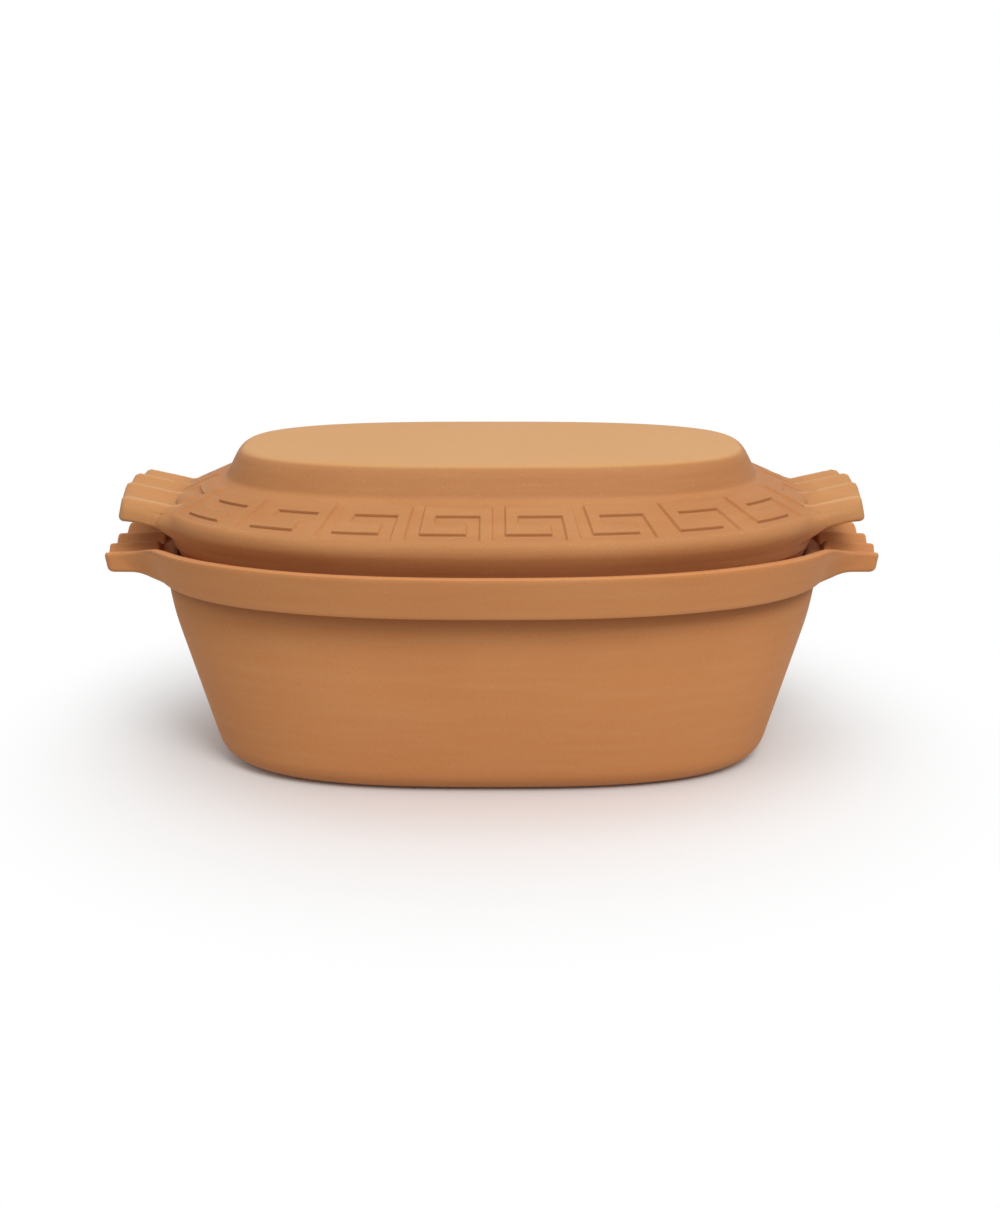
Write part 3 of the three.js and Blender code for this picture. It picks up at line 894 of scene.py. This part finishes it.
# %% Wall, foot and underside
wall_line = profile([(wall_half + undercut, band_z, 0), (wall_half, band_z, undercut_soft),
                     (wall_half, wall_bend_z, wall_bend_soft), (foot_half, 0, foot_soft),
                     (foot_half - flat_margin, 0, 0)], step=2.2)
wall_rows = rings(wall_line, base_turns, wall_extra)
under_rows = disc(wall_rows[-1], rows=5)[::-1]
base_grid = np.concatenate([floor_rows, bowl_rows, ledge_rows[1:], rim_rows[1:], wall_rows[1:], under_rows])
print("base rows", len(base_grid))

# %% Painted shadow under the band, painted shade and highlight on the rim, and the finished base
corner_dark, wall_dark, lip_dark, base_crest_highlight = 0.42, 0.14, 0.08, 0.4
base_shade_and_highlight = np.zeros(base_grid.shape[:2])
below_band = band_z - wall_rows[1:, :, 2]
first_wall = len(base_grid) - len(under_rows) - len(below_band)
# Painted shadow under the band's overhang: darkest in the corner, fading down the wall.
corner_shade = corner_dark * (1 - smooth_step(0, 10, below_band))
wall_shade = wall_dark * (1 - smooth_step(4, 36, below_band))
base_shade_and_highlight[first_wall:-len(under_rows)] = corner_shade + wall_shade
first_lip = len(floor_rows) + len(bowl_rows) + ledge_steps - 1 + rim_steps[0]
lip = slice(first_lip, first_lip + rim_steps[1] + 1)
lip_y = np.abs(base_grid[lip][..., 1])
crest_lit = crest_highlight(lip_y) * (1 - smooth_step(outer_crest + 1, outer_crest + 3, lip_y))
# Painted shade dims the whole lip, and a painted highlight lightens the lug crests on it.
base_shade_and_highlight[lip] = lip_dark - base_crest_highlight * crest_lit
no_folds = np.zeros(base_grid.shape[:2], bool)
base = skin("terracotta_base", base_grid, lit_base_clay, base_shade_and_highlight, no_folds)
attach(base, "base")
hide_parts("base")

# %% [markdown]
# ## The paper
# A pale sweep stands in for a photographer's paper. Close to the roaster it takes light and shadow like
# paper; further out the camera sees it as plain white, so that no horizon shows. A curved backdrop could
# do that too, but it would show its bend from other sides.

# %% Stage
paper_columns = 64
paper_radius = 12.0
fade_starts, fade_ends = 0.11, 0.28
bounce_grey, shown_grey = (0.54, 0.54, 0.54, 1), (0.93, 0.93, 0.93, 1)


def paper_sheet(radius):
    """A flat round sheet: rings of points at growing distances, columns that wrap round, and a middle
    point."""
    turns = np.linspace(0, 2 * np.pi, paper_columns, endpoint=False)
    circle = np.stack([np.cos(turns), np.sin(turns), np.zeros_like(turns)], axis=1)
    points = np.concatenate([[[0, 0, 0]], circle * radius / 3, circle * radius])
    near = np.arange(1, paper_columns + 1)
    beside = np.roll(near, -1)
    fan = np.stack([np.zeros_like(near), near, beside], axis=1)
    quads = np.stack([near, near + paper_columns, beside + paper_columns, beside], axis=1)
    mesh = bpy.data.meshes.new("paper_sheet")
    mesh.from_pydata(points.tolist(), [], fan.tolist() + quads.tolist())
    return bpy.data.objects.new("paper_sheet", mesh)


def shown_rays(start):
    """1 for rays that show a surface, which come from the camera, off gloss or through glass, and 0 for
    rays that only carry light: the sum of the three kinds, at most 1."""
    camera_ray = start.node("ShaderNodeLightPath", output="Is Camera Ray")
    glossy_ray = start.node("ShaderNodeLightPath", output="Is Glossy Ray")
    through_ray = start.node("ShaderNodeLightPath", output="Is Transmission Ray")
    return start.math("MINIMUM", camera_ray + glossy_ray + through_ray, 1.0)


def paper_white():
    """Pale paper that fades, for rays that show it, to plain white with the distance from the roaster."""
    material = bpy.data.materials.new("paper")
    material.use_nodes = True
    tree = material.node_tree
    shader = tree.nodes["Principled BSDF"]
    shader.inputs["Roughness"].default_value = 1.0
    shader.inputs["Specular IOR Level"].default_value = 0.0
    start = Shade(tree)
    seen = shown_rays(start)
    colour = seen.mixed(bounce_grey, shown_grey)
    tree.links.new(colour.socket, shader.inputs["Base Color"])
    place = start.node("ShaderNodeTexCoord", output="Object")
    distance = start.node("ShaderNodeVectorMath", {"operation": "LENGTH"}, {0: place}, output="Value")
    white = start.node("ShaderNodeEmission", inputs={"Color": (1, 1, 1, 1), "Strength": 1.0})
    paper_side = Shade(tree, shader.outputs[0])
    fade = distance.between(fade_starts, fade_ends) * seen
    mix = start.node("ShaderNodeMixShader", inputs={0: fade, 1: paper_side, 2: white})
    tree.links.new(mix.socket, tree.nodes["Material Output"].inputs["Surface"])
    return material


sheet = paper_sheet(paper_radius)
sheet.data.materials.append(paper_white())
bpy.context.scene.collection.objects.link(sheet)
print("paper", len(sheet.data.polygons), "faces")

# %% [markdown]
# ## The light
# A soft box in front, above and to the right models the shapes, a larger and weaker one overhead fills
# their tops, and a weak pale sky and the paper lift the shadows. A bright sky alone would be simpler, but
# the rim would throw no shadow and the key would hardly show. Rays that show the sky see plain white.

# %% Light
sky_light = 0.42
middle = (0, 0, top_z * MM / 2)


def soft_box(name, place, aim, size, watts):
    """A square area light that faces a point."""
    light = bpy.data.lights.new(name, "AREA")
    light.size = size
    light.energy = watts
    lamp = bpy.data.objects.new(name, light)
    lamp.location = place
    lamp.rotation_mode = "QUATERNION"
    lamp.rotation_quaternion = (Vector(aim) - Vector(place)).to_track_quat("-Z", "Y")
    bpy.context.scene.collection.objects.link(lamp)
    return lamp


front_light = soft_box("front_light", (0.38, -1.02, 1.10), middle, size=0.6, watts=9.6)
overhead_light = soft_box("overhead_light", (0.0, -0.25, 1.60), middle, size=1.2, watts=6.5)
world = bpy.data.worlds.new("studio")
world.use_nodes = True
sky = Shade(world.node_tree)
background = world.node_tree.nodes["Background"]
background.inputs["Color"].default_value = (1, 1, 1, 1)
strength = shown_rays(sky) * (1 - sky_light) + sky_light
world.node_tree.links.new(strength.socket, background.inputs["Strength"])
bpy.context.scene.world = world
bpy.context.scene.view_settings.view_transform = "Standard"
print("lights", front_light.name, overhead_light.name, "sky", sky_light)

# %% [markdown]
# ## The camera
# The photograph was taken from a little above, with a lens of about normal length. The camera's place
# was fitted so that the rim, the foot and the lugs of the packed model fall on those of the photograph.

# %% Camera
camera_distance = 0.910
camera_pitch = math.radians(16.2)
camera_target = Vector((0.0041, 0, 0.0726))
camera_lens = 52.69
away = Vector((0, -math.cos(camera_pitch), math.sin(camera_pitch)))
camera_data = bpy.data.cameras.new("camera")
camera_data.lens = camera_lens
camera = bpy.data.objects.new("camera", camera_data)
camera.location = camera_target + away * camera_distance
camera.rotation_mode = "QUATERNION"
camera.rotation_quaternion = (-away).to_track_quat("-Z", "Y")
bpy.context.scene.collection.objects.link(camera)
bpy.context.scene.camera = camera
print("camera at", [round(value, 3) for value in camera.location])

# %% [markdown]
# ## The size once more
# The dressed pieces mustn't outgrow the solids that they stand for.
